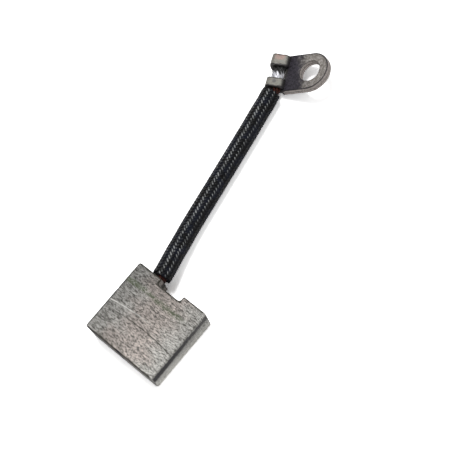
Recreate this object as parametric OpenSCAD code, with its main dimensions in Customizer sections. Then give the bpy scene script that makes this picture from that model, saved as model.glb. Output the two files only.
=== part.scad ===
// Metal-graphite carbon brush with a sleeved flexible shunt and a folded flag terminal.
// The block lies on its large face. X is across the block, Y runs from the running face to the
// shunt end, Z is up. The origin is under the middle of the block, on the surface it lies on.

/* [Carbon block] */
// Width of the block, across the large face
block_w = 20; // [17:0.5:25]
// Height of the block, from the running face to the shunt end
block_h = 18.8; // [14:0.2:32]
// Thickness of the block
block_t = 8; // [6.5:0.1:12.5]
// Bevel on the block's long edges and its running face
edge_bevel = 0.25; // [0.1:0.05:0.5]
// Width of the finger slot in the shunt end
slot_w = 6.6; // [5:0.1:8]
// Depth of the finger slot
slot_depth = 1.5; // [0.8:0.1:2.5]
// Radius in the bottom corners of the finger slot
slot_fillet = 0.7; // [0.3:0.1:0.7]

/* [Shunt hole] */
// Distance of the shunt hole from the middle of the block
hole_offset = 5; // [4.5:0.1:6]
// Diameter of the shunt hole
hole_d = 4; // [3.6:0.1:4.4]
// Depth of the shunt hole, from the shunt end
hole_depth = 7.6; // [5:0.2:10]

/* [Shunt and sleeve] */
// Diameter of the stranded copper shunt
shunt_d = 2.9; // [2.2:0.1:3.1]
// Outside diameter of the braided sleeve
sleeve_d = 4.7; // [4.5:0.1:5]
// Wall of the braided sleeve
sleeve_wall = 0.6; // [0.4:0.05:0.6]
// Gap between the sleeve's cut end and the block, on the sleeve's axis
sleeve_gap = 0.7; // [0.6:0.1:1.2]

/* [Terminal] */
// Thickness of the sheet that the terminal is folded from
sheet_t = 0.85; // [0.6:0.05:1]
// Width of the shunt where the crimp bands squeeze it
crimp_w = 2.9; // [2.6:0.1:3.2]
// Height of the shunt where the crimp bands squeeze it
crimp_h = 1.8; // [1.6:0.1:2.2]
// Width of the crimp band at the sleeve's side
near_band_w = 2.4; // [1.6:0.1:2.6]
// Width of the window between the two crimp bands
window_w = 3.5; // [2.4:0.1:3.6]
// Width of the crimp band at the shunt's end
far_band_w = 3; // [1.6:0.1:3.2]
// Diameter of the stud hole
stud_hole_d = 5.3; // [4.3:0.1:6.4]
// Diameter of the ring, which is also the height of the flag
ring_d = 10; // [9.4:0.1:12]
// Distance along the flag from its root to the middle of the stud hole
ring_reach = 7; // [6:0.1:10]
// How far the flag's root lies below the shunt's axis
flag_drop = 0.5; // [0.3:0.05:0.7]
// Rise of the flag above the crimp bands, in degrees
flag_rise = 27; // [10:1:35]
// Turn of the terminal about the vertical, in degrees
terminal_turn = 27; // [18:1:34]
// Dip of the terminal towards the shunt's end, in degrees
terminal_dip = 3.5; // [2:0.5:5]

/* [Clearances] */
// Radial clearance of the shunt in its filling and in its crimp bands
shunt_fit = 0.05; // [0.02:0.01:0.1]
// Height of the sleeve above the surface
lay_gap = 0.05; // [0.02:0.01:0.2]

/* [Hidden] */
$fn = 64;

// Where the shunt leaves the block, and the height at which the sleeved lead then lies
shunt_exit = [-hole_offset, block_h / 2, block_t / 2];
lay_z = sleeve_d / 2 + lay_gap;

// The crimp bands, in the terminal's own frame: X across the shunt, Y along it, Z up
crimp_corner = 0.4;
band_w = crimp_w + 2 * (shunt_fit + sheet_t);
band_h = crimp_h + 2 * (shunt_fit + sheet_t);
near_end = -(near_band_w + window_w + far_band_w) / 2;
window_from = near_end + near_band_w;
window_to = window_from + window_w;
far_end = window_to + far_band_w;
// Depth to which the flag's root is buried in the bands' walls
root_bite = 0.35;
root_x = band_w / 2 - root_bite;
// Width of the groove where the two leaves of the flag meet
seam = 0.14;
// Length of the shunt that is squeezed flat past each end of the crimp bands
shunt_stub = 0.3;
// Height at which the dipping terminal rests its lower end on the surface
terminal_z = far_end * sin(terminal_dip) + band_h / 2 * cos(terminal_dip);

// Route of the free lead, chosen by hand, from the shunt's exit: across, along, and how much of
// the drop from the hole's height to the surface is still to come
LEAD = [
    [-0.3, 2.0, 0.94], [-0.9, 4.4, 0.72], [-1.6, 6.9, 0.46], [-2.4, 10.4, 0.20],
    [-3.2, 14.0, 0.06], [-3.9, 17.8, 0], [-4.9, 23.8, 0], [-6.3, 32.0, 0],
    [-7.2, 37.2, 0], [-8.1, 42.4, 0], [-8.8, 46.1, 0.01], [-9.3, 49.2, 0.03],
    [-9.9, 52.2, 0.02]
];
// Middle of the crimp bands, from the shunt's exit
TERMINAL_AT = [-12, 57.4];

function lead_point(p) =
    [shunt_exit[0] + p[0], shunt_exit[1] + p[1], lay_z + (shunt_exit[2] - lay_z) * p[2]];
function crimp_point(along) =
    [shunt_exit[0] + TERMINAL_AT[0] - along * cos(terminal_dip) * sin(terminal_turn),
     shunt_exit[1] + TERMINAL_AT[1] + along * cos(terminal_dip) * cos(terminal_turn),
     terminal_z - along * sin(terminal_dip)];

lead_path = [for (p = LEAD) lead_point(p)];
sleeve_path = concat([shunt_exit + [-sleeve_gap / 7, sleeve_gap, 0]], lead_path);
crimp_stops = [
    near_end - shunt_stub, near_end, window_from, (window_from + window_to) / 2, window_to,
    far_end, far_end + shunt_stub
];
shunt_path = concat(
    [for (back = [hole_depth, hole_depth / 2, 0]) shunt_exit - [0, back, 0]],
    lead_path,
    [for (y = crimp_stops) crimp_point(y)]);

// Half width and half height of the shunt at each point of its route: round as far as the
// terminal, squeezed in the two bands, swollen in the window between them
SIDES = 8;
round_half = [shunt_d, shunt_d] / 2;
squeezed_half = [crimp_w, crimp_h] / 2 / cos(180 / SIDES);
swollen_half = [crimp_w, (crimp_h + shunt_d) / 2] / 2 / cos(180 / SIDES);
shunt_halves = concat(
    [for (i = [1 : len(LEAD) + 3]) round_half],
    [for (y = crimp_stops)
        y > window_from && y < window_to ? swollen_half : squeezed_half]);

function unit(v) = v / norm(v);
function heading(path, i) = unit(
    i == 0 ? path[1] - path[0]
    : i == len(path) - 1 ? path[i] - path[i - 1]
    : unit(path[i + 1] - path[i]) + unit(path[i] - path[i - 1]));
// A ring of points round a path's point i, square to the path, with two sides kept level
function ring(path, i, half, sides) =
    let (t = heading(path, i), side = unit(cross(t, [0, 0, 1])), up = cross(side, t))
    [for (k = [0 : sides - 1]) let (a = 360 * (k + 0.5) / sides)
        path[i] + half[0] * cos(a) * side + half[1] * sin(a) * up];
function wall_faces(first, rings, sides, inward) =
    [for (i = [0 : rings - 2], k = [0 : sides - 1])
        let (a = first + i * sides + k, b = first + i * sides + (k + 1) % sides)
        inward ? [a, a + sides, b + sides, b] : [a, b, b + sides, a + sides]];

// A solid rod along a path, with its own half sizes at each point
module swept_rod(path, halves, sides) {
    rings = len(path);
    polyhedron(
        [for (i = [0 : rings - 1]) each ring(path, i, halves[i], sides)],
        concat(
            wall_faces(0, rings, sides, false),
            [[for (k = [sides - 1 : -1 : 0]) k]],
            [[for (k = [0 : sides - 1]) (rings - 1) * sides + k]]));
}

// A hollow tube along a path
module swept_tube(path, r_out, r_in, sides) {
    rings = len(path);
    inner = rings * sides;
    last = (rings - 1) * sides;
    polyhedron(
        [for (r = [r_out, r_in], i = [0 : rings - 1]) each ring(path, i, [r, r], sides)],
        concat(
            wall_faces(0, rings, sides, false),
            wall_faces(inner, rings, sides, true),
            [for (k = [0 : sides - 1]) let (n = (k + 1) % sides) [n, k, inner + k, inner + n]],
            [for (k = [0 : sides - 1]) let (n = (k + 1) % sides)
                [last + k, last + n, inner + last + n, inner + last + k]]));
}

module rounded_rectangle(w, h, r) {
    square([w - 2 * r, h], center = true);
    square([w, h - 2 * r], center = true);
    for (x = [-1, 1], y = [-1, 1]) translate([x * (w / 2 - r), y * (h / 2 - r)]) circle(r);
}

// The finger slot in the shunt end, cut right through the block's thickness
module finger_slot() {
    reach = slot_depth + block_h;
    translate([0, block_h / 2 - slot_depth + reach / 2, -1])
        linear_extrude(block_t + 2) rounded_rectangle(slot_w, reach, slot_fillet);
}

// Wedge that bevels one edge of the block, lying along Y through the origin
module bevel_cut(length) {
    side = edge_bevel * sqrt(2);
    rotate([0, 45, 0]) cube([side, length, side], center = true);
}

module carbon_block() {
    color([0.47, 0.46, 0.44])
    difference() {
        translate([-block_w / 2, -block_h / 2, 0]) cube([block_w, block_h, block_t]);
        finger_slot();
        translate(shunt_exit + [0, 1, 0]) rotate([90, 0, 0]) cylinder(h = hole_depth + 1, d = hole_d);
        for (x = [-1, 1], z = [0, 1])
            translate([x * block_w / 2, 0, z * block_t]) bevel_cut(block_h + 2);
        for (z = [0, 1])
            translate([0, -block_h / 2, z * block_t]) rotate([0, 0, 90]) bevel_cut(block_w + 2);
    }
}

// Tamped compound that fills the hole round the shunt, flush with the block's end and its slot
module tamped_filling() {
    color([0.2, 0.19, 0.18])
    difference() {
        translate(shunt_exit) rotate([90, 0, 0]) cylinder(h = hole_depth, d = hole_d);
        translate(shunt_exit + [0, 1, 0]) rotate([90, 0, 0])
            cylinder(h = hole_depth + 2, d = shunt_d + 2 * shunt_fit);
        finger_slot();
    }
}

module copper_shunt() {
    color([0.62, 0.38, 0.28]) swept_rod(shunt_path, shunt_halves, SIDES);
}

module braided_sleeve() {
    color([0.06, 0.06, 0.07]) swept_tube(sleeve_path, sleeve_d / 2, sleeve_d / 2 - sleeve_wall, 12);
}

// Outline of one leaf of the flag, drawn in by the given amount all round
module leaf_outline(inset) {
    difference() {
        union() {
            translate([ring_reach, 0]) circle(d = ring_d - 2 * inset);
            translate([0, -ring_d / 2 + inset]) square([ring_reach, ring_d - 2 * inset]);
        }
        translate([ring_reach, 0]) circle(d = stud_hole_d);
    }
}

// The flag: two leaves of the folded sheet face to face, with a fine groove where they meet
module flag() {
    leaf_t = sheet_t - seam / 2;
    linear_extrude(leaf_t) leaf_outline(0);
    translate([0, 0, leaf_t]) linear_extrude(seam) leaf_outline(seam);
    translate([0, 0, leaf_t + seam]) linear_extrude(leaf_t) leaf_outline(0);
}

// One crimp band: the sheet where it loops round the shunt
module crimp_band(from, width) {
    translate([0, from + width, 0]) rotate([90, 0, 0]) linear_extrude(width)
        rounded_rectangle(band_w, band_h, crimp_corner + sheet_t);
}

module ring_terminal() {
    color([0.62, 0.6, 0.58])
    translate(crimp_point(0)) rotate([-terminal_dip, 0, terminal_turn])
        difference() {
            union() {
                translate([root_x, 0, -flag_drop]) rotate([0, -flag_rise, 0])
                    translate([0, 0, -sheet_t]) flag();
                crimp_band(near_end, near_band_w);
                crimp_band(window_to, far_band_w);
            }
            translate([0, ring_d, 0]) rotate([90, 0, 0]) linear_extrude(2 * ring_d)
                rounded_rectangle(crimp_w + 2 * shunt_fit, crimp_h + 2 * shunt_fit, crimp_corner);
        }
}

carbon_block();
tamped_filling();
copper_shunt();
braided_sleeve();
ring_terminal();
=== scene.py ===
"""Carbon brush: a ground metal-graphite block, a sleeved copper shunt and a folded flag terminal.

Every length is in metres, in the row's own frame: X across the block, Y from the running face to
the shunt end, Z up, with the origin on the surface under the middle of the block.
"""

from __future__ import annotations

import logging
import math
from dataclasses import dataclass, field
from enum import Enum
from typing import Iterable, Sequence

import bmesh
import bpy
from mathutils import Matrix, Vector, noise


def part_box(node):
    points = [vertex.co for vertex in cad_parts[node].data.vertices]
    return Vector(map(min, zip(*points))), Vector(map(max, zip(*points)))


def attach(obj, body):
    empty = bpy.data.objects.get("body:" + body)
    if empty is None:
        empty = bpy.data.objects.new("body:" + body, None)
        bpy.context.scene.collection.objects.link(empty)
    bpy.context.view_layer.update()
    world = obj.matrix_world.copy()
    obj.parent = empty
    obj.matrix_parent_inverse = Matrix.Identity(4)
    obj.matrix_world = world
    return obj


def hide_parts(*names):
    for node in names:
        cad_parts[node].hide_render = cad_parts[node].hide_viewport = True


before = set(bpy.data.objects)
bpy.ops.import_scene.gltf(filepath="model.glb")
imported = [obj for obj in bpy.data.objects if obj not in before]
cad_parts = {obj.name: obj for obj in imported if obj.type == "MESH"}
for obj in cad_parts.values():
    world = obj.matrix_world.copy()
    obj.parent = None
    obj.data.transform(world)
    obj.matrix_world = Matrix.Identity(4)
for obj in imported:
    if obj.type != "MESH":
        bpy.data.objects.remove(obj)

LOG = logging.getLogger("carbon_brush")
MM = 0.001
ROOT = "root"
Point2 = tuple[float, float]


class Slot(Enum):
    """The record's material slots."""

    BLOCK = "metal_graphite"
    FILLING = "tamping_compound"
    ROPE = "copper_rope"
    SLEEVE = "sleeve_braid"
    TERMINAL = "tinned_sheet"


class Lay(Enum):
    """Which way a family of braid strands winds round the sleeve."""

    RIGHT = 1
    LEFT = -1


# ---------------------------------------------------------------------------------------------
# Node building
# ---------------------------------------------------------------------------------------------


class Graph:
    """Adds nodes to a node tree in short calls, and links them by what they are given."""

    def __init__(self, tree: bpy.types.NodeTree) -> None:
        """Wraps a node tree."""
        self.tree = tree

    def add(self, kind: str, inputs: dict[str | int, object] | None = None,
            **props: object) -> bpy.types.Node:
        """Adds one node.

        Args:
            kind: The node's type name.
            inputs: Values or sockets for its inputs, by name or number.
            props: Settings of the node itself.

        Returns:
            The new node.
        """
        node = self.tree.nodes.new(kind)
        for name, value in props.items():
            setattr(node, name, value)
        for key, value in (inputs or {}).items():
            self.feed(node.inputs[key], value)
        return node

    def feed(self, socket: bpy.types.NodeSocket, value: object) -> None:
        """Links a socket to another one, or sets its value.

        Args:
            socket: The input.
            value: A socket to link, or a value to set.
        """
        if isinstance(value, bpy.types.NodeSocket):
            self.tree.links.new(value, socket)
        else:
            socket.default_value = value

    def math(self, operation: str, *values: object) -> bpy.types.NodeSocket:
        """Adds a Math node and returns its result."""
        return self.add("ShaderNodeMath", dict(enumerate(values)), operation=operation).outputs[0]

    def vector(self, operation: str, *values: object) -> bpy.types.NodeSocket:
        """Adds a Vector Math node and returns its vector."""
        node = self.add("ShaderNodeVectorMath", dict(enumerate(values)), operation=operation)
        return node.outputs["Vector"]

    def scaled(self, vector: object, factor: object) -> bpy.types.NodeSocket:
        """Returns a vector times a number."""
        node = self.add("ShaderNodeVectorMath", {0: vector, "Scale": factor}, operation="SCALE")
        return node.outputs["Vector"]

    def total(self, first: object, *others: object) -> object:
        """Returns the sum of some vectors.

        Args:
            first: The first vector.
            others: The vectors to add to it.

        Returns:
            The sum.
        """
        for other in others:
            first = self.vector("ADD", first, other)
        return first


class GeometryGraph(Graph):
    """A Geometry Nodes tree with named inputs, applied to an object as a plain mesh."""

    def __init__(self, name: str, inputs: dict[str, str]) -> None:
        """Makes the tree.

        Args:
            name: The tree's name.
            inputs: The socket type of each named input, after the geometry.
        """
        super().__init__(bpy.data.node_groups.new(name, "GeometryNodeTree"))
        face = self.tree.interface
        face.new_socket("Geometry", in_out="INPUT", socket_type="NodeSocketGeometry")
        self.keys = {
            label: face.new_socket(label, in_out="INPUT", socket_type=kind).identifier
            for label, kind in inputs.items()
        }
        face.new_socket("Geometry", in_out="OUTPUT", socket_type="NodeSocketGeometry")
        self.given = self.add("NodeGroupInput").outputs
        self.result = self.add("NodeGroupOutput").inputs[0]

    def close(self, geometry: bpy.types.NodeSocket) -> None:
        """Ends the tree: real geometry, smooth, in the material that was given.

        Args:
            geometry: What the tree has made.
        """
        real = self.add("GeometryNodeRealizeInstances", {0: geometry}).outputs[0]
        smooth = self.add("GeometryNodeSetShadeSmooth", {0: real}).outputs[0]
        dressed = self.add("GeometryNodeSetMaterial", {0: smooth, "Material": self.given["Material"]})
        self.feed(self.result, dressed.outputs[0])

    def run(self, base: bpy.types.Mesh, values: dict[str, object]) -> bpy.types.Mesh:
        """Runs the tree on a mesh.

        Args:
            base: The mesh that the tree starts from.
            values: A value for each named input.

        Returns:
            A plain mesh, with no modifier left.
        """
        holder = bpy.data.objects.new("guide", base)
        bpy.context.scene.collection.objects.link(holder)
        modifier = holder.modifiers.new("nodes", "NODES")
        modifier.node_group = self.tree
        for label, value in values.items():
            modifier[self.keys[label]] = value
        ready = holder.evaluated_get(bpy.context.evaluated_depsgraph_get())
        mesh = bpy.data.meshes.new_from_object(ready)
        holder.modifiers.remove(modifier)
        bpy.data.objects.remove(holder)
        return mesh


def joined(name: str, meshes: Iterable[bpy.types.Mesh], material: bpy.types.Material) -> bpy.types.Object:
    """Joins meshes into one object that sits at the origin.

    Args:
        name: The object's name.
        meshes: The meshes, each with its place in its points.
        material: The one material of the object.

    Returns:
        The object, linked to the scene.
    """
    whole = bmesh.new()
    for mesh in meshes:
        whole.from_mesh(mesh)
    for face in whole.faces:
        face.material_index = 0
        face.smooth = True
    data = bpy.data.meshes.new(name)
    whole.to_mesh(data)
    whole.free()
    data.materials.append(material)
    thing = bpy.data.objects.new(name, data)
    bpy.context.scene.collection.objects.link(thing)
    return thing


def outward(mesh: bpy.types.Mesh) -> bpy.types.Mesh:
    """Merges a mesh's doubles and turns its faces outwards.

    Args:
        mesh: A closed mesh.

    Returns:
        The same mesh.
    """
    work = bmesh.new()
    work.from_mesh(mesh)
    bmesh.ops.remove_doubles(work, verts=work.verts, dist=0.001 * MM)
    bmesh.ops.recalc_face_normals(work, faces=work.faces)
    work.to_mesh(mesh)
    work.free()
    return mesh


def report(thing: bpy.types.Object) -> None:
    """Logs a piece's size in faces."""
    LOG.info("%s: %d faces", thing.name, len(thing.data.polygons))


# ---------------------------------------------------------------------------------------------
# The lead's route
# ---------------------------------------------------------------------------------------------


@dataclass(frozen=True)
class Stop:
    """One point of the route, with the shunt's half width and half height there."""

    at: Vector
    half_width: float
    half_height: float


@dataclass
class Route:
    """The middle line of the shunt, from the bottom of its hole to its end in the terminal."""

    hole_offset: float = 5 * MM
    hole_depth: float = 7.6 * MM
    shunt_radius: float = 1.45 * MM
    sleeve_radius: float = 2.35 * MM
    lay_gap: float = 0.05 * MM
    step: float = 0.3 * MM
    # Across and along from the exit, and the share of the drop that is still to come
    lead: tuple[tuple[float, float, float], ...] = (
        (-0.0003, 0.0020, 0.94), (-0.0009, 0.0044, 0.72), (-0.0016, 0.0069, 0.46),
        (-0.0024, 0.0104, 0.20), (-0.0032, 0.0140, 0.06), (-0.0039, 0.0178, 0.0),
        (-0.0049, 0.0238, 0.0), (-0.0063, 0.0320, 0.0), (-0.0072, 0.0372, 0.0),
        (-0.0081, 0.0424, 0.0), (-0.0088, 0.0461, 0.01), (-0.0093, 0.0492, 0.03),
        (-0.0099, 0.0522, 0.02),
    )

    def __post_init__(self) -> None:
        """Takes the shunt's exit from the block."""
        low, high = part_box("carbon_block")
        self.exit = Vector((-self.hole_offset, high.y, (low.z + high.z) / 2))
        self.lay_z = low.z + self.sleeve_radius + self.lay_gap

    def lead_points(self) -> list[Vector]:
        """Returns the free lead's points, from the exit's side.

        Returns:
            The points, from the exit.
        """
        drop = self.exit.z - self.lay_z
        return [
            Vector((self.exit.x + across, self.exit.y + along, self.lay_z + drop * share))
            for across, along, share in self.lead
        ]

    def stops(self, terminal: "Terminal") -> list[Stop]:
        """Returns the stops of the whole route.

        Args:
            terminal: The terminal, which squeezes the shunt in its two bands.

        Returns:
            The stops, from the bottom of the hole.
        """
        backs = [self.exit - Vector((0, back, 0)) for back in (self.hole_depth, self.hole_depth / 2, 0)]
        free = [Stop(point, self.shunt_radius, self.shunt_radius) for point in backs + self.lead_points()]
        return free + terminal.shunt_stops(self.shunt_radius)


def spline(stops: Sequence[Stop], step: float) -> list[Stop]:
    """Draws one smooth curve through the stops.

    Args:
        stops: The stops that the curve passes through.
        step: The distance between the points of the curve.

    Returns:
        Points of the curve, a step apart, each with its own half sizes.
    """
    ends = [stops[0].at * 2 - stops[1].at, stops[-1].at * 2 - stops[-2].at]
    points = [ends[0], *(stop.at for stop in stops), ends[1]]
    fine: list[Stop] = []
    for i in range(1, len(points) - 2):
        p0, p1, p2, p3 = points[i - 1:i + 3]
        t1 = (p1 - p0).length ** 0.5
        t2 = t1 + (p2 - p1).length ** 0.5
        t3 = t2 + (p3 - p2).length ** 0.5
        a, b = stops[i - 1], stops[i]
        count = max(2, math.ceil((p2 - p1).length / (step / 4)))
        for k in range(count):
            share = k / count
            t = t1 + (t2 - t1) * share
            a1 = p0 * ((t1 - t) / t1) + p1 * (t / t1)
            a2 = p1 * ((t2 - t) / (t2 - t1)) + p2 * ((t - t1) / (t2 - t1))
            a3 = p2 * ((t3 - t) / (t3 - t2)) + p3 * ((t - t2) / (t3 - t2))
            b1 = a1 * ((t2 - t) / t2) + a2 * (t / t2)
            b2 = a2 * ((t3 - t) / (t3 - t1)) + a3 * ((t - t1) / (t3 - t1))
            at = b1 * ((t2 - t) / (t2 - t1)) + b2 * ((t - t1) / (t2 - t1))
            ease = share * share * (3 - 2 * share)
            fine.append(Stop(
                at,
                a.half_width + (b.half_width - a.half_width) * ease,
                a.half_height + (b.half_height - a.half_height) * ease,
            ))
    fine.append(stops[-1])
    return respaced(fine, step)


def respaced(line: Sequence[Stop], step: float) -> list[Stop]:
    """Returns a line's points again, an even step apart.

    Args:
        line: The line.
        step: The distance between its new points.

    Returns:
        The new points.
    """
    lengths = [0.0]
    for a, b in zip(line, line[1:]):
        lengths.append(lengths[-1] + (b.at - a.at).length)
    count = max(2, round(lengths[-1] / step))
    out: list[Stop] = []
    j = 0
    for i in range(count + 1):
        along = lengths[-1] * i / count
        while j < len(line) - 2 and lengths[j + 1] < along:
            j += 1
        share = (along - lengths[j]) / max(lengths[j + 1] - lengths[j], 1e-12)
        a, b = line[j], line[j + 1]
        out.append(Stop(
            a.at.lerp(b.at, share),
            a.half_width + (b.half_width - a.half_width) * share,
            a.half_height + (b.half_height - a.half_height) * share,
        ))
    return out


def guide_mesh(name: str, line: Sequence[Stop]) -> bpy.types.Mesh:
    """Makes the chain of edges that the Geometry Nodes follow, with its half sizes as attributes.

    Args:
        name: The mesh's name.
        line: The points that it follows.

    Returns:
        The chain of edges.
    """
    mesh = bpy.data.meshes.new(name)
    mesh.from_pydata([stop.at for stop in line], [(i, i + 1) for i in range(len(line) - 1)], [])
    for label, values in (
        ("half_width", [stop.half_width for stop in line]),
        ("half_height", [stop.half_height for stop in line]),
    ):
        mesh.attributes.new(label, "FLOAT", "POINT").data.foreach_set("value", values)
    return mesh


def between(line: Sequence[Stop], start: Vector, end: Vector) -> list[Stop]:
    """Returns the stretch of a line from its point nearest to one place to that nearest to another.

    Args:
        line: The line.
        start: The place where the stretch starts.
        end: The place where it ends.

    Returns:
        The stops of the stretch.
    """
    first = min(range(len(line)), key=lambda i: (line[i].at - start).length)
    last = min(range(len(line)), key=lambda i: (line[i].at - end).length)
    return list(line[first:last + 1])


# ---------------------------------------------------------------------------------------------
# Geometry Nodes
# ---------------------------------------------------------------------------------------------


class OnRoute(GeometryGraph):
    """A Geometry Nodes tree that places things round a guide line."""

    def __init__(self, name: str, inputs: dict[str, str]) -> None:
        """Makes the tree and turns its guide into a curve."""
        super().__init__(name, {**inputs, "Material": "NodeSocketMaterial"})
        self.curve = self.add("GeometryNodeMeshToCurve", {0: self.given["Geometry"]}).outputs[0]

    def attribute(self, name: str) -> bpy.types.NodeSocket:
        """Returns a number that the guide carries."""
        node = self.add("GeometryNodeInputNamedAttribute", {"Name": name}, data_type="FLOAT")
        return node.outputs["Attribute"]

    def sample(self, factor: object, value: object) -> bpy.types.Node:
        """Samples the guide at a share of its length, with a number that it carries.

        Args:
            factor: The share of its length.
            value: The number to read there.

        Returns:
            The sampling node.
        """
        return self.add(
            "GeometryNodeSampleCurve",
            {"Curves": self.curve, "Factor": factor, "Value": value},
            mode="FACTOR", data_type="FLOAT", use_all_curves=True,
        )

    def axes(self, tangent: bpy.types.NodeSocket) -> tuple[bpy.types.NodeSocket, bpy.types.NodeSocket]:
        """Returns the level side and the upward direction that stand square to the guide."""
        side = self.vector("NORMALIZE", self.vector("CROSS_PRODUCT", tangent, (0, 0, 1)))
        return side, self.vector("CROSS_PRODUCT", side, tangent)

    def copies(self, points: object, count: object) -> tuple[bpy.types.NodeSocket, bpy.types.NodeSocket]:
        """Makes copies of one strand of some points, and returns them with their numbers.

        Args:
            points: The number of points in each strand.
            count: The number of strands.

        Returns:
            The strands and their numbers.
        """
        strand = self.add("GeometryNodeCurvePrimitiveLine").outputs[0]
        fine = self.add("GeometryNodeResampleCurve", {"Curve": strand, "Count": points}, mode="COUNT")
        many = self.add(
            "GeometryNodeDuplicateElements", {"Geometry": fine.outputs[0], "Amount": count}, domain="SPLINE"
        )
        return many.outputs["Geometry"], many.outputs["Duplicate Index"]

    def random(self, low: object, high: object, number: object, seed: object) -> bpy.types.NodeSocket:
        """Returns a random number for each strand.

        Args:
            low: The lowest number.
            high: The highest.
            number: The strand's number.
            seed: The seed.

        Returns:
            The random number.
        """
        node = self.add("FunctionNodeRandomValue", {"ID": number, "Seed": seed}, data_type="FLOAT")
        self.feed(node.inputs[2], low)
        self.feed(node.inputs[3], high)
        return node.outputs[1]

    def kept(self, geometry: object, name: str, value: object) -> bpy.types.NodeSocket:
        """Stores a number on each point, under a name that the materials read.

        Args:
            geometry: The strands.
            name: The name.
            value: The number.

        Returns:
            The strands with it.
        """
        return self.add(
            "GeometryNodeStoreNamedAttribute", {"Geometry": geometry, "Name": name, "Value": value},
            data_type="FLOAT", domain="POINT",
        ).outputs[0]

    def skinned(self, curves: object, radial: object, thickness: object, width: object,
                sides: int) -> bpy.types.NodeSocket:
        """Gives strands a flat oval section whose thin way points out of the lead.

        Args:
            curves: The strands.
            radial: The way out of the lead.
            thickness: The thin size.
            width: The wide size.
            sides: The number of sides.

        Returns:
            The skinned strands.
        """
        turned = self.add("GeometryNodeSetCurveNormal", {"Curve": curves, "Normal": radial}, mode="FREE")
        round_one = self.add("GeometryNodeCurvePrimitiveCircle", {"Resolution": sides, "Radius": 0.5})
        size = self.add("ShaderNodeCombineXYZ", {0: thickness, 1: width, 2: 1.0}).outputs[0]
        oval = self.add("GeometryNodeTransform", {"Geometry": round_one.outputs[0], "Scale": size})
        return self.add(
            "GeometryNodeCurveToMesh",
            {"Curve": turned.outputs[0], "Profile Curve": oval.outputs[0], "Fill Caps": True},
        ).outputs[0]


def strand_tree() -> OnRoute:
    """Builds the tree that winds strands round a guide line.

    Each strand can be a bundle of finer wires with a twist of their own, and each can weave over
    and under the strands that wind the other way, two over and two under.

    Returns:
        The tree, for the sleeve's braid and for the copper rope.
    """
    tree = OnRoute("wound_strands", {
        "Strands": "NodeSocketInt", "Wires": "NodeSocketInt", "Points": "NodeSocketInt",
        "Turns": "NodeSocketFloat", "Lay": "NodeSocketFloat",
        "Wire Turns": "NodeSocketFloat", "Wire Lay": "NodeSocketFloat",
        "Weave": "NodeSocketFloat", "Width": "NodeSocketFloat", "Thickness": "NodeSocketFloat",
        "Ragged": "NodeSocketFloat", "Seed": "NodeSocketInt",
    })
    given = tree.given
    count = tree.math("MULTIPLY", given["Strands"], given["Wires"])
    curves, number = tree.copies(given["Points"], count)
    strand = tree.math("FLOOR", tree.math("DIVIDE", number, given["Wires"]))
    wire = tree.math("MODULO", number, given["Wires"])
    along = tree.add("GeometryNodeSplineParameter").outputs["Factor"]
    start = tree.random(0.0, given["Ragged"], number, given["Seed"])
    end = tree.math("SUBTRACT", 1.0, tree.random(0.0, given["Ragged"], strand, given["Seed"]))
    share = tree.math("ADD", start, tree.math("MULTIPLY", along, tree.math("SUBTRACT", end, start)))

    wide = tree.sample(share, tree.attribute("half_width"))
    high = tree.sample(share, tree.attribute("half_height"))
    half_width, half_height = wide.outputs[0], high.outputs[0]
    side, up = tree.axes(wide.outputs["Tangent"])

    turned = tree.math("MULTIPLY", given["Turns"], share)
    angle = tree.math("MULTIPLY", tree.math("ADD", tree.math("DIVIDE", strand, given["Strands"]), turned),
                      math.tau)
    crossed = tree.math("MULTIPLY", tree.math("MULTIPLY", given["Strands"], 2.0), turned)
    phase = tree.math("ADD", tree.math("MULTIPLY", tree.math("ADD", strand, strand), math.pi / 2),
                      tree.math("MULTIPLY_ADD", crossed, math.pi / 2, math.pi / 4))
    wave = tree.math("MULTIPLY", tree.math("SINE", phase), math.sqrt(2))
    level = tree.math("MAXIMUM", tree.math("MINIMUM", wave, 1.0), -1.0)
    rise = tree.math("MULTIPLY", level, given["Weave"])

    cos, sin = tree.math("COSINE", angle), tree.math("SINE", angle)
    out_side = tree.math("MULTIPLY_ADD", half_width, given["Lay"], rise)
    out_up = tree.math("MULTIPLY_ADD", half_height, given["Lay"], rise)
    wire_angle = tree.math("MULTIPLY", tree.math("ADD", tree.math("DIVIDE", wire, given["Wires"]),
                           tree.math("MULTIPLY", given["Wire Turns"], share)), math.tau)
    wire_side = tree.math("MULTIPLY", tree.math("COSINE", wire_angle),
                          tree.math("MULTIPLY", half_width, given["Wire Lay"]))
    wire_up = tree.math("MULTIPLY", tree.math("SINE", wire_angle),
                        tree.math("MULTIPLY", half_height, given["Wire Lay"]))
    place = tree.total(
        wide.outputs["Position"],
        tree.scaled(side, tree.math("MULTIPLY_ADD", cos, out_side, wire_side)),
        tree.scaled(up, tree.math("MULTIPLY_ADD", sin, out_up, wire_up)),
    )
    radial = tree.vector("NORMALIZE", tree.total(
        tree.scaled(side, tree.math("MULTIPLY", cos, half_height)),
        tree.scaled(up, tree.math("MULTIPLY", sin, half_width)),
    ))
    placed = tree.add("GeometryNodeSetPosition", {"Geometry": curves, "Position": place}).outputs[0]
    toned = tree.kept(placed, "tone", tree.random(0.0, 1.0, number, 7))
    raised = tree.kept(toned, "level", level)
    measured = tree.kept(raised, "share", share)
    tree.close(tree.skinned(measured, radial, given["Thickness"], given["Width"], 6))
    return tree


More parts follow.
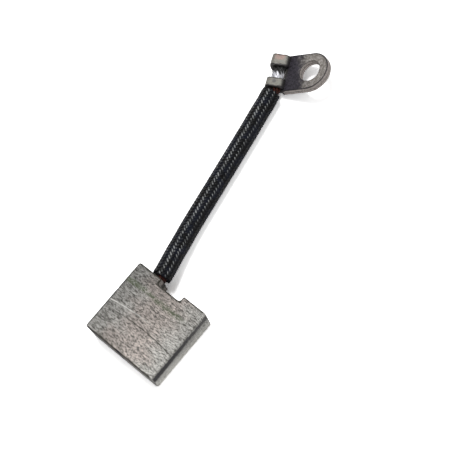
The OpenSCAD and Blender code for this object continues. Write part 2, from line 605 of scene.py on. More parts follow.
def fibre_tree() -> OnRoute:
    """Builds the tree that stands loose cut fibres round the start of a guide line.

    Returns:
        The tree, for the two cut ends of the sleeve.
    """
    tree = OnRoute("cut_fibres", {
        "Fibres": "NodeSocketInt", "Lay": "NodeSocketFloat", "Length": "NodeSocketFloat",
        "Splay": "NodeSocketFloat", "Thickness": "NodeSocketFloat", "Seed": "NodeSocketInt",
    })
    given = tree.given
    curves, number = tree.copies(5, given["Fibres"])
    along = tree.add("GeometryNodeSplineParameter").outputs["Factor"]
    start = tree.sample(0.0, tree.attribute("half_width"))
    tangent = start.outputs["Tangent"]
    side, up = tree.axes(tangent)
    angle = tree.random(0.0, math.tau, number, given["Seed"])
    length = tree.random(tree.math("MULTIPLY", given["Length"], 0.3), given["Length"], number,
                         tree.math("ADD", given["Seed"], 1.0))
    splay = tree.random(tree.math("MULTIPLY", given["Splay"], -0.4), given["Splay"], number,
                        tree.math("ADD", given["Seed"], 2.0))
    lean = tree.random(tree.math("MULTIPLY", given["Splay"], -1.0), given["Splay"], number,
                       tree.math("ADD", given["Seed"], 3.0))
    radial = tree.total(tree.scaled(side, tree.math("COSINE", angle)),
                        tree.scaled(up, tree.math("SINE", angle)))
    round_way = tree.vector("CROSS_PRODUCT", radial, tangent)
    reach = tree.math("MULTIPLY", tree.math("SUBTRACT", along, 0.4), length)
    bend = tree.math("MULTIPLY", tree.math("MULTIPLY", along, along), length)
    place = tree.total(
        start.outputs["Position"],
        tree.scaled(radial, tree.math("MULTIPLY", start.outputs[0], given["Lay"])),
        tree.scaled(tangent, tree.math("MULTIPLY", reach, -1.0)),
        tree.scaled(radial, tree.math("MULTIPLY", bend, splay)),
        tree.scaled(round_way, tree.math("MULTIPLY", bend, lean)),
    )
    placed = tree.add("GeometryNodeSetPosition", {"Geometry": curves, "Position": place}).outputs[0]
    toned = tree.kept(placed, "tone", tree.random(0.6, 1.0, number, 5))
    tree.close(tree.skinned(toned, radial, given["Thickness"], given["Thickness"], 3))
    return tree


# ---------------------------------------------------------------------------------------------
# Finishes
# ---------------------------------------------------------------------------------------------


class Finish(Graph):
    """A procedural material, built on the Principled shader."""

    def __init__(self, name: str, roughness: float, metallic: float = 0.0, **sockets: float) -> None:
        """Makes the material.

        Args:
            name: The material's name.
            roughness: Its roughness where no node sets it.
            metallic: Its metallic value.
            sockets: Other values of the shader, with underscores for spaces.
        """
        self.material = bpy.data.materials.new(name)
        self.material.use_nodes = True
        super().__init__(self.material.node_tree)
        self.shader = self.tree.nodes["Principled BSDF"]
        self.shader.inputs["Roughness"].default_value = roughness
        self.shader.inputs["Metallic"].default_value = metallic
        for label, value in sockets.items():
            self.shader.inputs[label.replace("_", " ")].default_value = value
        self.place = self.add("ShaderNodeTexCoord").outputs["Object"]

    def turned(self, angle: float, scale: Sequence[float],
               at: Sequence[float] = (0, 0, 0)) -> bpy.types.NodeSocket:
        """Returns object coordinates turned about Z and scaled, for a pattern with a direction.

        Args:
            angle: The turn.
            scale: The scale along each axis.
            at: The place that is turned about.

        Returns:
            The turned coordinates.
        """
        moved = self.vector("SUBTRACT", self.place, tuple(at))
        spun = self.add("ShaderNodeVectorRotate", {"Vector": moved, "Angle": angle}, rotation_type="Z_AXIS")
        return self.vector("MULTIPLY", spun.outputs[0], tuple(scale))

    def grain(self, vector: object, scale: float, detail: float = 4.0, rough: float = 0.6,
              bend: float = 0.0) -> bpy.types.NodeSocket:
        """Returns a noise from 0 to 1."""
        return self.add(
            "ShaderNodeTexNoise",
            {"Vector": vector, "Scale": scale, "Detail": detail, "Roughness": rough, "Distortion": bend},
        ).outputs[0]

    def band(self, value: object, low: float, high: float, out_low: float = 0.0,
             out_high: float = 1.0) -> bpy.types.NodeSocket:
        """Spreads the part of a value between two limits over a new range, smoothly."""
        node = self.add(
            "ShaderNodeMapRange",
            {"Value": value, "From Min": low, "From Max": high, "To Min": out_low, "To Max": out_high},
            interpolation_type="SMOOTHSTEP",
        )
        return node.outputs[0]

    def blend(self, factor: object, first: object, second: object, way: str = "MIX") -> bpy.types.NodeSocket:
        """Mixes two colours.

        Args:
            factor: The share of the second one.
            first: A colour or its socket.
            second: Another one.
            way: How they are mixed.

        Returns:
            The mixed colour.
        """
        node = self.add("ShaderNodeMix", data_type="RGBA", blend_type=way)
        self.feed(node.inputs["Factor"], factor)
        self.feed(node.inputs[6], first if isinstance(first, bpy.types.NodeSocket) else (*first, 1.0))
        self.feed(node.inputs[7], second if isinstance(second, bpy.types.NodeSocket) else (*second, 1.0))
        return node.outputs[2]

    def point_value(self, name: str) -> bpy.types.NodeSocket:
        """Returns a number that the mesh carries on its points."""
        return self.add("ShaderNodeAttribute", attribute_name=name).outputs["Fac"]

    def parts(self, vector: object) -> bpy.types.NodeOutputs:
        """Returns the three numbers of a vector."""
        return self.add("ShaderNodeSeparateXYZ", {0: vector}).outputs

    def paint(self, colour: object, rough: object | None = None, height: object | None = None,
              depth: float = 0.02 * MM) -> bpy.types.Material:
        """Connects the colour, the roughness and the relief, and returns the material.

        Args:
            colour: The colour's socket.
            rough: The roughness's socket, or None to keep the value that was set.
            height: The relief's socket, from 0 to 1, or None for none.
            depth: The depth of the relief.

        Returns:
            The finished material.
        """
        self.feed(self.shader.inputs["Base Color"], colour)
        if rough is not None:
            self.feed(self.shader.inputs["Roughness"], rough)
        if height is not None:
            bump = self.add("ShaderNodeBump", {"Strength": 1.0, "Distance": depth, "Height": height})
            self.feed(self.shader.inputs["Normal"], bump.outputs[0])
        return self.material


@dataclass(frozen=True)
class GroundGraphite:
    """Metal-graphite ground on a wheel: grey, speckled and scored along X, with a copper tint."""

    pale: tuple[float, float, float] = (0.47, 0.46, 0.435)
    dark: tuple[float, float, float] = (0.085, 0.082, 0.074)
    coppery: tuple[float, float, float] = (0.50, 0.44, 0.405)
    greenish: tuple[float, float, float] = (0.10, 0.12, 0.075)
    olive: tuple[float, float, float] = (0.022, 0.022, 0.014)
    near_black: tuple[float, float, float] = (0.012, 0.010, 0.013)
    bright: tuple[float, float, float] = (0.66, 0.65, 0.62)

    def curve_mask(self, f: Finish, at: bpy.types.NodeOutputs, level: float, bow: float,
                   middle: float, width: float) -> bpy.types.NodeSocket:
        """Masks one long shallow score that runs along X.

        Args:
            f: The finish that it belongs to.
            at: The place's three numbers.
            level: The score's highest Y.
            bow: How far it falls away, per metre, with the square of the distance from its middle.
            middle: The X at which it is highest.
            width: Its half width.

        Returns:
            A mask from 0 to 1, ragged along its length.
        """
        off = f.math("SUBTRACT", at[0], middle)
        line = f.math("MULTIPLY_ADD", f.math("MULTIPLY", off, off), -bow, level)
        wobble = f.grain(f.turned(0.0, (0.5, 0.2, 0.2)), 900.0, 2.0)
        gap = f.math("ABSOLUTE", f.math("SUBTRACT", at[1], f.math("MULTIPLY_ADD", wobble, 0.4 * MM, line)))
        broken = f.band(f.grain(f.turned(0.0, (0.6, 0.3, 0.3)), 1400.0, 2.0), 0.28, 0.55, 0.35)
        return f.math("MULTIPLY", f.band(gap, width, width * 0.3), broken)

    def painted_edge_shade_mask(self, f: Finish, at: bpy.types.NodeOutputs, low: Vector, high: Vector,
                 slot: Vector) -> bpy.types.NodeSocket:
        """Masks the block's outer edges and the edges of its slot, where a dark line of painted shade goes.

        Args:
            f: The finish that it belongs to.
            at: The place's three numbers.
            low: The block's lowest corner.
            high: The block's highest corner.
            slot: The slot's half width and its floor's Y.

        Returns:
            A mask that is 1 on the edges.
        """
        half, middle = (high - low) / 2, (high + low) / 2
        depths = [
            f.math("SUBTRACT", half[i], f.math("ABSOLUTE", f.math("SUBTRACT", at[i], middle[i])))
            for i in range(3)
        ]
        pairs = [f.math("MAXIMUM", depths[i], depths[j]) for i, j in ((0, 1), (0, 2), (1, 2))]
        near = f.math("MINIMUM", f.math("MINIMUM", pairs[0], pairs[1]), pairs[2])
        beside = f.math("MAXIMUM", f.math("SUBTRACT", f.math("ABSOLUTE", at[0]), slot.x),
                        f.math("SUBTRACT", slot.y, at[1]))
        near = f.math("MINIMUM", near, f.math("MAXIMUM", beside, depths[2]))
        ragged = f.grain(f.place, 1500.0, 3.0, 0.6)
        return f.band(f.math("MULTIPLY_ADD", ragged, 0.35 * MM, near), 0.62 * MM, 0.40 * MM)

    def make(self, low: Vector, high: Vector, slot: Vector) -> bpy.types.Material:
        """Builds the material for one block.

        Args:
            low: The block's lowest corner.
            high: The block's highest corner.
            slot: The slot's half width and its floor's Y.

        Returns:
            The material.
        """
        f = Finish("ground_graphite", 0.62, Specular_IOR_Level=0.2)
        at = f.parts(f.place)
        streak = f.grain(f.turned(0.05, (0.32, 1.0, 1.0)), 3400.0, 2.0, 0.6, 0.9)
        speckle = f.grain(f.place, 5200.0, 2.0, 0.6, 0.5)
        tone = f.math("ADD", f.math("MULTIPLY", streak, 0.68), f.math("MULTIPLY", speckle, 0.32))
        cut = f.band(tone, 0.37, 0.63)
        base = f.blend(cut, self.dark, self.pale)
        warm = f.blend(cut, self.dark, self.coppery)
        cloud = f.math("SUBTRACT", f.grain(f.turned(0.0, (0.5, 1.0, 1.0)), 260.0, 3.0, 0.55), 0.5)
        beside = f.math("ABSOLUTE", f.math("SUBTRACT", at[0], 0.5 * MM))
        tint = f.band(f.math("MULTIPLY_ADD", cloud, 12 * MM, beside), 8.5 * MM, 2.5 * MM)
        colour = f.blend(tint, base, warm)
        # Painted light and shade: paler towards the +X, -Y corner, the +X side face scaled from 0.85 near its
        # top edge to 1.5 lower down, and the running end face at half brightness
        across = f.math("MINIMUM", f.math("MAXIMUM", at[0], -8 * MM), 7.5 * MM)
        level = f.math("MULTIPLY_ADD", across, 38.0, f.math("MULTIPLY_ADD", at[1], -17.0, 1.13))
        level = f.math("MULTIPLY_ADD", cloud, 0.8, level)
        out = f.band(at[0], high.x - 0.16 * MM, high.x - 0.05 * MM)
        running = f.band(at[1], low.y + 0.25 * MM, low.y + 0.1 * MM)
        level = f.math("MULTIPLY", level, f.math("MULTIPLY_ADD", running, -0.5, 1.0))
        down = f.math("SUBTRACT", high.z, at[2])
        deep = f.band(down, 2.5 * MM, 8.0 * MM, 0.85, 1.5)
        level = f.math("MULTIPLY", level, f.math("ADD", f.math("SUBTRACT", 1.0, out),
                                                 f.math("MULTIPLY", out, deep)))
        colour = f.scaled(colour, level)
        green_y = f.math("MULTIPLY_ADD", cloud, 3 * MM, 4.9 * MM)
        green_line = f.math("ABSOLUTE", f.math("SUBTRACT", at[1], green_y))
        green = f.math("MULTIPLY", f.band(green_line, 1.0 * MM, 0.2 * MM), f.band(at[0], 8 * MM, 5 * MM))
        green = f.math("MULTIPLY", green, f.band(tone, 0.66, 0.45, 0.1, 0.85))
        colour = f.blend(green, colour, self.greenish)
        upper = f.band(at[2], high.z - 0.2 * MM, high.z - 0.1 * MM)
        pale_score = self.curve_mask(f, at, -0.25 * MM, 6.4, 3.3 * MM, 0.19 * MM)
        pale_score = f.math("MULTIPLY", pale_score, f.band(at[0], 5 * MM, -7 * MM))
        colour = f.blend(f.math("MULTIPLY", pale_score, upper), colour, self.bright)
        dark_score = self.curve_mask(f, at, -2.25 * MM, 9.0, 1.5 * MM, 0.2 * MM)
        dark_score = f.math("MULTIPLY", dark_score, f.band(at[0], -9 * MM, -5 * MM, 0.0, 0.7))
        colour = f.blend(f.math("MULTIPLY", dark_score, upper), colour, self.olive)
        # A near-black band on the +X side face, under its top edge
        jag = f.grain(f.turned(0.0, (1.0, 1.0, 0.12)), 1700.0, 3.0, 0.7)
        fall = f.math("MULTIPLY_ADD", f.math("SUBTRACT", jag, 0.5), 2.2 * MM, down)
        reach = f.band(at[1], -9 * MM, 9 * MM, 3.6 * MM, 2.5 * MM)
        dark_side_band = f.math("MULTIPLY", f.band(f.math("SUBTRACT", fall, reach), 0.7 * MM, -0.7 * MM),
                      f.band(fall, 0.25 * MM, 0.65 * MM))
        dark_side_band = f.math("MULTIPLY", f.math("MULTIPLY", dark_side_band, out), f.band(at[1], -4 * MM, 9 * MM, 0.97, 0.82))
        colour = f.blend(dark_side_band, colour, self.near_black)
        # Painted shade: a dark olive line along the block's edges and into its slot, weaker on the +X side
        # face
        painted_edge_shade = f.math("MULTIPLY", self.painted_edge_shade_mask(f, at, low, high, slot),
                     f.band(at[0], high.x - 0.9 * MM, high.x - 0.5 * MM, 0.88, 0.25))
        colour = f.blend(painted_edge_shade, colour, self.olive)
        off_nick = f.math("ABSOLUTE", f.math("ADD", at[0], 0.1 * MM))
        nick = f.math("MULTIPLY", f.band(off_nick, 0.95 * MM, 0.45 * MM),
                      f.band(at[1], low.y + 0.45 * MM, low.y + 0.2 * MM))
        colour = f.blend(nick, colour, self.near_black)
        rough = f.band(tone, 0.35, 0.65, 0.72, 0.5)
        return f.paint(colour, rough, tone, 0.035 * MM)


@dataclass(frozen=True)
class VarnishedBraid:
    """Black varnished glass-fibre braid: glossy crowns, a painted pale highlight on the crowns that face up,
    bare cut ends.
    """

    black: tuple[float, float, float] = (0.0035, 0.0035, 0.004)
    bluish: tuple[float, float, float] = (0.006, 0.008, 0.016)
    painted_highlight_grey: tuple[float, float, float] = (0.34, 0.35, 0.35)

    def make(self) -> bpy.types.Material:
        """Builds the material."""
        f = Finish("varnished_braid", 0.3, Specular_IOR_Level=0.16)
        level = f.point_value("level")
        tone = f.point_value("tone")
        facing = f.parts(f.add("ShaderNodeNewGeometry").outputs["Normal"])[2]
        spots = f.grain(f.place, 2300.0, 3.0, 0.75)
        patch = f.grain(f.place, 420.0, 2.0, 0.5)
        # Painted highlight: pale grey on the raised crowns that face up, broken up by noise
        painted_highlight_mask = f.math("MULTIPLY", f.band(level, -0.2, 1.0), f.band(facing, 0.80, 0.985))
        keep = f.math("ADD", f.math("MULTIPLY_ADD", tone, 0.12, spots), f.math("MULTIPLY", patch, 0.25))
        pale = f.math("MULTIPLY", painted_highlight_mask, f.band(keep, 0.54, 0.78, 0.10, 0.9))
        colour = f.blend(f.band(patch, 0.4, 0.65), self.black, self.bluish)
        rough = f.band(spots, 0.35, 0.7, 0.24, 0.5)
        return f.paint(f.blend(pale, colour, self.painted_highlight_grey), rough)


@dataclass(frozen=True)
class CopperRope:
    """Bare copper wires, dark with age, and tinned where the terminal grips them."""

    copper: tuple[float, float, float] = (0.13, 0.035, 0.025)
    aged: tuple[float, float, float] = (0.035, 0.012, 0.009)
    tin: tuple[float, float, float] = (0.80, 0.80, 0.84)
    painted_window_shade: tuple[float, float, float] = (0.05, 0.05, 0.05)

    def make(self) -> bpy.types.Material:
        """Builds the material."""
        f = Finish("copper_rope", 0.42, 0.75)
        share = f.point_value("share")
        tone = f.point_value("tone")
        age = f.grain(f.place, 1300.0, 3.0, 0.65)
        aged_and_shaded = f.band(f.math("MULTIPLY_ADD", tone, 0.25, age), 0.50, 0.85)
        bare = f.blend(aged_and_shaded, self.aged, self.copper)
        # The tin is bright near the first band, and painted shade darkens it near the second
        dross = f.grain(f.place, 1100.0, 3.0, 0.6)
        drift = f.math("MULTIPLY_ADD", f.math("SUBTRACT", dross, 0.5), 0.035, share)
        tinned = f.blend(f.band(drift, 0.926, 0.940), self.tin, self.painted_window_shade)
        colour = f.blend(f.band(drift, 0.893, 0.905), bare, tinned)
        rough = f.band(age, 0.3, 0.7, 0.3, 0.6)
        return f.paint(colour, rough, age, 0.02 * MM)


@dataclass(frozen=True)
class DullTin:
    """Dull tinned copper sheet: painted shade at the flag's root, round its edges and beside the bands, pale
    on cut edges, rubbed on the far band.
    """

    tin: tuple[float, float, float] = (0.20, 0.18, 0.16)
    pale_tin: tuple[float, float, float] = (0.48, 0.45, 0.425)
    painted_shade_purple: tuple[float, float, float] = (0.052, 0.046, 0.062)
    deep: tuple[float, float, float] = (0.012, 0.010, 0.014)
    cut_edge: tuple[float, float, float] = (0.42, 0.37, 0.35)
    band_tin: tuple[float, float, float] = (0.29, 0.295, 0.26)
    copper: tuple[float, float, float] = (0.47, 0.29, 0.25)

    def flag_colour(self, f: Finish, size: "Terminal", mottle: object, fine: object) -> bpy.types.NodeSocket:
        """Colours the two leaves by where they are on the flag.

        Args:
            f: The finish that it belongs to.
            size: The terminal's sizes.
            mottle: A coarse noise.
            fine: A fine noise.

        Returns:
            The colour's socket.
        """
        at = f.parts(f.add("ShaderNodeAttribute", attribute_name="on_flag").outputs["Vector"])
        along = f.math("SUBTRACT", at[0], size.reach)
        past = f.math("MAXIMUM", along, 0.0)
        out = f.math("SQRT", f.math("ADD", f.math("MULTIPLY", past, past), f.math("MULTIPLY", at[1], at[1])))
        edge = f.math("SUBTRACT", size.ring_radius, out)
        round_hole = f.math("SQRT", f.math("ADD", f.math("MULTIPLY", along, along),
                                           f.math("MULTIPLY", at[1], at[1])))
        lip = f.math("SUBTRACT", round_hole, size.hole_radius)
        # Painted shade: the leaves are dark at the flag's root, turning to tin towards the ring
        drift = f.math("MULTIPLY_ADD", f.math("SUBTRACT", mottle, 0.5), 5 * MM, at[0])
        lean = f.math("MULTIPLY_ADD", at[1], 0.25, drift)
        bare = f.band(lean, 3.6 * MM, 7.2 * MM)
        tin = f.blend(f.band(fine, 0.42, 0.66), self.tin, self.pale_tin)
        aged_and_shaded = f.blend(f.band(fine, 0.36, 0.62), self.deep, self.painted_shade_purple)
        colour = f.blend(bare, aged_and_shaded, tin)
        # Painted shade: dark lines along the ring's outer edge on top and round the hole's lip
        wobble = f.math("MULTIPLY", f.math("SUBTRACT", mottle, 0.5), 0.3 * MM)
        on_top = f.band(at[2], size.sheet * 0.55, size.sheet * 0.8)
        ring_line = f.math("MULTIPLY", f.band(f.math("ADD", edge, wobble), 0.52 * MM, 0.22 * MM), on_top)
        colour = f.blend(f.math("MULTIPLY", ring_line, 0.88), colour, self.deep)
        hole_line = f.band(f.math("ADD", lip, wobble), 0.34 * MM, 0.12 * MM, 0.0, 0.7)
        colour = f.blend(hole_line, colour, self.deep)
        side_wall = f.band(f.math("ABSOLUTE", at[2]), size.sheet * 0.97, size.sheet * 0.86)
        cut = f.math("MULTIPLY", f.band(edge, 0.12 * MM, 0.05 * MM), side_wall)
        inner = f.math("MULTIPLY", f.band(lip, 0.12 * MM, 0.05 * MM), side_wall)
        seam = f.band(f.math("ABSOLUTE", at[2]), 0.12 * MM, 0.03 * MM)
        bright = f.math("MULTIPLY", f.math("MAXIMUM", cut, inner), f.math("MULTIPLY_ADD", seam, -0.9, 1.0))
        return f.blend(bright, colour, f.blend(f.band(fine, 0.35, 0.6), self.tin, self.cut_edge))

    def band_colour(self, f: Finish, size: "Terminal", mottle: object, fine: object) -> bpy.types.NodeSocket:
        """Colours the two crimp bands by where they are on the shunt.

        Args:
            f: The finish that it belongs to.
            size: The terminal's sizes.
            mottle: A coarse noise.
            fine: A fine noise.

        Returns:
            The colour's socket.
        """
        at = f.parts(f.add("ShaderNodeAttribute", attribute_name="on_band").outputs["Vector"])
        tin = f.blend(f.band(fine, 0.35, 0.65), self.tin, self.band_tin)
        rubbed = f.math("MULTIPLY", f.band(f.math("MULTIPLY_ADD", mottle, 3 * MM, at[1]), 3.9 * MM, 5.0 * MM),
                        f.band(f.math("ABSOLUTE", f.math("ADD", at[0], 0.2 * MM)), 1.7 * MM, 0.7 * MM))
        colour = f.blend(f.math("MULTIPLY", rubbed, f.band(fine, 0.3, 0.7, 0.25, 0.85)), tin, self.copper)
        # Painted shade: dark along the bands' cut ends
        wobble = f.math("MULTIPLY", f.math("SUBTRACT", mottle, 0.5), 0.7 * MM)
        ends = [size.near_end, size.window_from, size.window_to, size.far_end]
        gaps = [f.math("ABSOLUTE", f.math("SUBTRACT", at[1], end)) for end in ends]
        near = f.math("MINIMUM", f.math("MINIMUM", gaps[0], gaps[1]), f.math("MINIMUM", gaps[2], gaps[3]))
        painted_edge_shade = f.band(f.math("ADD", near, wobble), 0.42 * MM, 0.16 * MM)
        colour = f.blend(f.math("MULTIPLY", painted_edge_shade, 0.85), colour, self.deep)
        # Painted shade in the crevice where the bands meet the flag
        side = f.band(f.math("MULTIPLY_ADD", mottle, 0.5 * MM, at[0]), size.half_width - 0.75 * MM,
                      size.half_width - 0.1 * MM)
        colour = f.blend(f.math("MULTIPLY", side, 0.9), colour, self.deep)
        # Painted shade of a dimple on the near band
        on_band = f.add("ShaderNodeAttribute", attribute_name="on_band").outputs["Vector"]
        dimple = f.vector("SUBTRACT", on_band,
                          (-0.2 * MM, size.near_end + size.near_band * 0.55, size.half_height))
        reach = f.add("ShaderNodeVectorMath", {0: dimple}, operation="LENGTH").outputs["Value"]
        return f.blend(f.band(reach, 0.75 * MM, 0.2 * MM, 0.0, 0.6), colour, self.painted_shade_purple)

    def make(self, size: "Terminal") -> bpy.types.Material:
        """Builds the material.

        Args:
            size: The terminal's sizes.

        Returns:
            The material.
        """
        f = Finish("dull_tin", 0.45, 0.25)
        mottle = f.grain(f.place, 750.0, 3.0, 0.6, 0.4)
        fine = f.grain(f.place, 2400.0, 3.0, 0.7, 0.3)
        flag = self.flag_colour(f, size, mottle, fine)
        band = self.band_colour(f, size, mottle, fine)
        colour = f.blend(f.point_value("is_band"), flag, band)
        rough = f.band(fine, 0.35, 0.65, 0.36, 0.6)
        relief = f.math("ADD", f.math("MULTIPLY", fine, 0.5), f.math("MULTIPLY", mottle, 0.5))
        return f.paint(colour, rough, relief, 0.06 * MM)


@dataclass(frozen=True)
class RammedPowder:
    """Dark compound rammed into the shunt's hole."""

    dark: tuple[float, float, float] = (0.012, 0.010, 0.009)
    pale: tuple[float, float, float] = (0.10, 0.085, 0.075)

    def make(self) -> bpy.types.Material:
        """Builds the material."""
        f = Finish("rammed_powder", 0.8)
        crumb = f.grain(f.place, 4000.0, 4.0, 0.7)
        return f.paint(f.blend(f.band(crumb, 0.4, 0.65), self.dark, self.pale), None, crumb, 0.05 * MM)


# ---------------------------------------------------------------------------------------------
# Shapes
# ---------------------------------------------------------------------------------------------


def filleted(corners: Sequence[Point2], radii: Sequence[float], step: float) -> list[Point2]:
    """Draws an open line with rounded corners.

    Args:
        corners: The line's corners and its two ends.
        radii: The radius at each corner between the ends.
        step: The distance between points, on arcs and straights alike.

    Returns:
        The points of the line.
    """
    out = [Vector(corners[0])]
    for i, radius in enumerate(radii, start=1):
        corner = Vector(corners[i])
        back = (Vector(corners[i - 1]) - corner).normalized()
        ahead = (Vector(corners[i + 1]) - corner).normalized()
        half = back.angle(ahead) / 2
        cut = radius / math.tan(half)
        middle = corner + (back + ahead).normalized() * (radius / math.sin(half))
        first, last = corner + back * cut - middle, corner + ahead * cut - middle
        sweep = first.angle_signed(last)
        count = max(3, math.ceil(abs(sweep) * radius / step) + 1)
        for k in range(count + 1):
            out.append(middle + Matrix.Rotation(-sweep * k / count, 2) @ first)
    out.append(Vector(corners[-1]))
    fine: list[Point2] = []
    for a, b in zip(out, out[1:]):
        count = max(1, round((b - a).length / step))
        fine += [tuple(a.lerp(b, k / count)) for k in range(count)]
    return fine + [tuple(out[-1])]


def soft_rectangle(width: float, height: float, radius: float, cells: int, arc: int = 3) -> list[Point2]:
    """Returns the outline of a rectangle with rounded corners, its long sides split into cells.

    Args:
        width: The width.
        height: The height.
        radius: The radius of its corners.
        cells: The cells along each long side.
        arc: The steps in each corner.

    Returns:
        The points of the outline.
    """
    points: list[Point2] = []
    corners = ((1, 1), (-1, 1), (-1, -1), (1, -1))
    for i, (x, y) in enumerate(corners):
        centre = Vector((x * (width / 2 - radius), y * (height / 2 - radius)))
        for k in range(arc + 1):
            angle = math.pi / 2 * (i + k / arc)
            points.append((centre.x + radius * math.cos(angle), centre.y + radius * math.sin(angle)))
        nxt = corners[(i + 1) % 4]
        if y == nxt[1]:
            start, end = Vector(points[-1]), Vector((nxt[0] * (width / 2 - radius), points[-1][1]))
            points += [tuple(start.lerp(end, k / cells)) for k in range(1, cells)]
    return points


def skin(rows: Sequence[Sequence[Vector]], closed: bool, name: str) -> bpy.types.Mesh:
    """Covers rows of points with faces.

    Args:
        rows: Closed rings of points, as many in each.
        closed: Whether the last ring joins the first. If not, the two ends are capped.
        name: The mesh's name.

    Returns:
        A closed mesh whose faces point outwards.
    """
    sides = len(rows[0])
    points = [point for row in rows for point in row]
    faces = []
    for i in range(len(rows) if closed else len(rows) - 1):
        j = (i + 1) % len(rows)
        for k in range(sides):
            m = (k + 1) % sides
            faces.append((i * sides + k, i * sides + m, j * sides + m, j * sides + k))
    if not closed:
        faces.append(tuple(range(sides)))
        faces.append(tuple(range((len(rows) - 1) * sides, len(rows) * sides)))
    mesh = bpy.data.meshes.new(name)
    mesh.from_pydata(points, [], faces)
    return outward(mesh)


# ---------------------------------------------------------------------------------------------
# The terminal
# ---------------------------------------------------------------------------------------------


@dataclass
class Terminal:
    """The terminal: one strip of sheet, folded into two crimp bands and a flag of two leaves."""

    exit: Vector
    across: float = -12 * MM
    along: float = 57.4 * MM
    turn: float = math.radians(27)
    dip: float = math.radians(3.5)
    rise: float = math.radians(27)
    sheet: float = 0.85 * MM
    crimp_width: float = 2.9 * MM
    crimp_height: float = 1.8 * MM
    fit: float = 0.05 * MM
    near_band: float = 2.4 * MM
    window: float = 3.5 * MM
    far_band: float = 3.0 * MM
    stub: float = 0.3 * MM
    root_bite: float = 0.35 * MM
    flag_drop: float = 0.5 * MM
    reach: float = 7.0 * MM
    ring_radius: float = 5.0 * MM
    hole_radius: float = 2.65 * MM
    edge: float = 0.16 * MM

    def __post_init__(self) -> None:
        """Works out the places that depend on the sizes."""
        self.near_end = -(self.near_band + self.window + self.far_band) / 2
        self.window_from = self.near_end + self.near_band
        self.window_to = self.window_from + self.window
        self.far_end = self.window_to + self.far_band
        self.half_width = self.crimp_width / 2 + self.fit + self.sheet
        self.half_height = self.crimp_height / 2 + self.fit + self.sheet
        height = self.far_end * math.sin(self.dip) + self.half_height * math.cos(self.dip)
        centre = Vector((self.exit.x + self.across, self.exit.y + self.along, height))
        self.place = (
            Matrix.Translation(centre)
            @ Matrix.Rotation(self.turn, 4, "Z")
            @ Matrix.Rotation(-self.dip, 4, "X")
        )
        root = Vector((self.half_width - self.root_bite, 0, -self.flag_drop))
        self.flag = self.place @ Matrix.Translation(root) @ Matrix.Rotation(-self.rise, 4, "Y")

    def shunt_stops(self, round_radius: float) -> list[Stop]:
        """Returns the route's stops through the bands, squeezed there and swollen between them.

        Args:
            round_radius: The radius of the shunt where it is free.

        Returns:
            The stops, from the block's side.
        """
        flat_side = math.cos(math.pi / 8)
        wide, flat = self.crimp_width / 2 / flat_side, self.crimp_height / 2 / flat_side
        swollen = (self.crimp_height / 2 + round_radius) / 2 / flat_side
        middle = (self.window_from + self.window_to) / 2
        spots = (
            (self.near_end - self.stub, flat), (self.near_end, flat), (self.window_from, flat),
            (middle, swollen), (self.window_to, flat), (self.far_end, flat), (self.far_end + self.stub, flat),
        )
        return [Stop(self.place @ Vector((0, y, 0)), wide, height) for y, height in spots]

    def band_line(self) -> list[Point2]:
        """Returns the middle line of a band's sheet, from inside one leaf round to inside the other.

        Returns:
            The points of the line.
        """
        half = self.sheet / 2
        x, z = self.half_width - half, self.half_height - half
        slope = Vector((math.cos(self.rise), math.sin(self.rise)))
        normal = Vector((-slope.y, slope.x))
        root = Vector((self.half_width - self.root_bite, -self.flag_drop))
        upper, lower = root + normal * half, root - normal * half
        bite = 1.6 * MM
        fold = upper + slope * ((x - upper.x) / slope.x)
        ramp = lower + slope * ((-z - lower.y) / slope.y)
        corner = self.sheet / 2 + 0.4 * MM
        return filleted(
            [tuple(upper + slope * bite), tuple(fold), (x, z), (-x, z), (-x, -z), tuple(ramp),
             tuple(lower + slope * bite)],
            [half + 0.03 * MM, corner, corner, corner, corner],
            0.22 * MM,
        )

    def band(self, start: float, width: float, name: str) -> bpy.types.Mesh:
        """Makes one crimp band, bent from a strip of the sheet.

        Args:
            start: Where the band starts along the shunt.
            width: The band's width.
            name: The mesh's name.

        Returns:
            The band, in its place.
        """
        line = self.band_line()
        section = soft_rectangle(width, self.sheet * 0.985, self.edge, 8)
        rows = []
        for i, (x, z) in enumerate(line):
            before, after = Vector(line[max(i - 1, 0)]), Vector(line[min(i + 1, len(line) - 1)])
            way = (after - before).normalized()
            normal = Vector((-way.y, way.x))
            rows.append([
                self.place @ Vector((x + normal.x * n, start + width / 2 + y, z + normal.y * n))
                for y, n in section
            ])
        return skin(rows, False, name)

    def edge_distance(self, angle: float) -> float:
        """Returns how far a leaf's edge is from the middle of its hole, in a direction.

        Args:
            angle: The direction, from the far end.

        Returns:
            The distance.
        """
        c, s = math.cos(angle), math.sin(angle)
        if c >= 0:
            return self.ring_radius
        return min(self.reach / -c, self.ring_radius / max(abs(s), 1e-9))

    def leaf(self, side: int, name: str) -> bpy.types.Mesh:
        """Makes one leaf of the flag, as a plate round its hole.

        Args:
            side: 1 for the upper leaf, -1 for the lower one.
            name: The mesh's name.

        Returns:
            The leaf, in its place.
        """
        root_corner = math.pi - math.atan2(self.ring_radius, self.reach)
        angles = sorted({*(math.tau * k / 112 - math.pi for k in range(112)), root_corner, -root_corner})
        gap = 0.01 * MM
        rows = []
        for angle in angles:
            reach = self.edge_distance(angle)
            width = reach - self.hole_radius
            section = soft_rectangle(width, self.sheet - gap, self.edge, 10)
            way = Vector((math.cos(angle), math.sin(angle)))
            rows.append([
                self.flag @ Vector((
                    self.reach + way.x * (self.hole_radius + width / 2 + r),
                    way.y * (self.hole_radius + width / 2 + r),
                    side * self.sheet / 2 + z,
                ))
                for r, z in section
            ])
        return skin(rows, True, name)

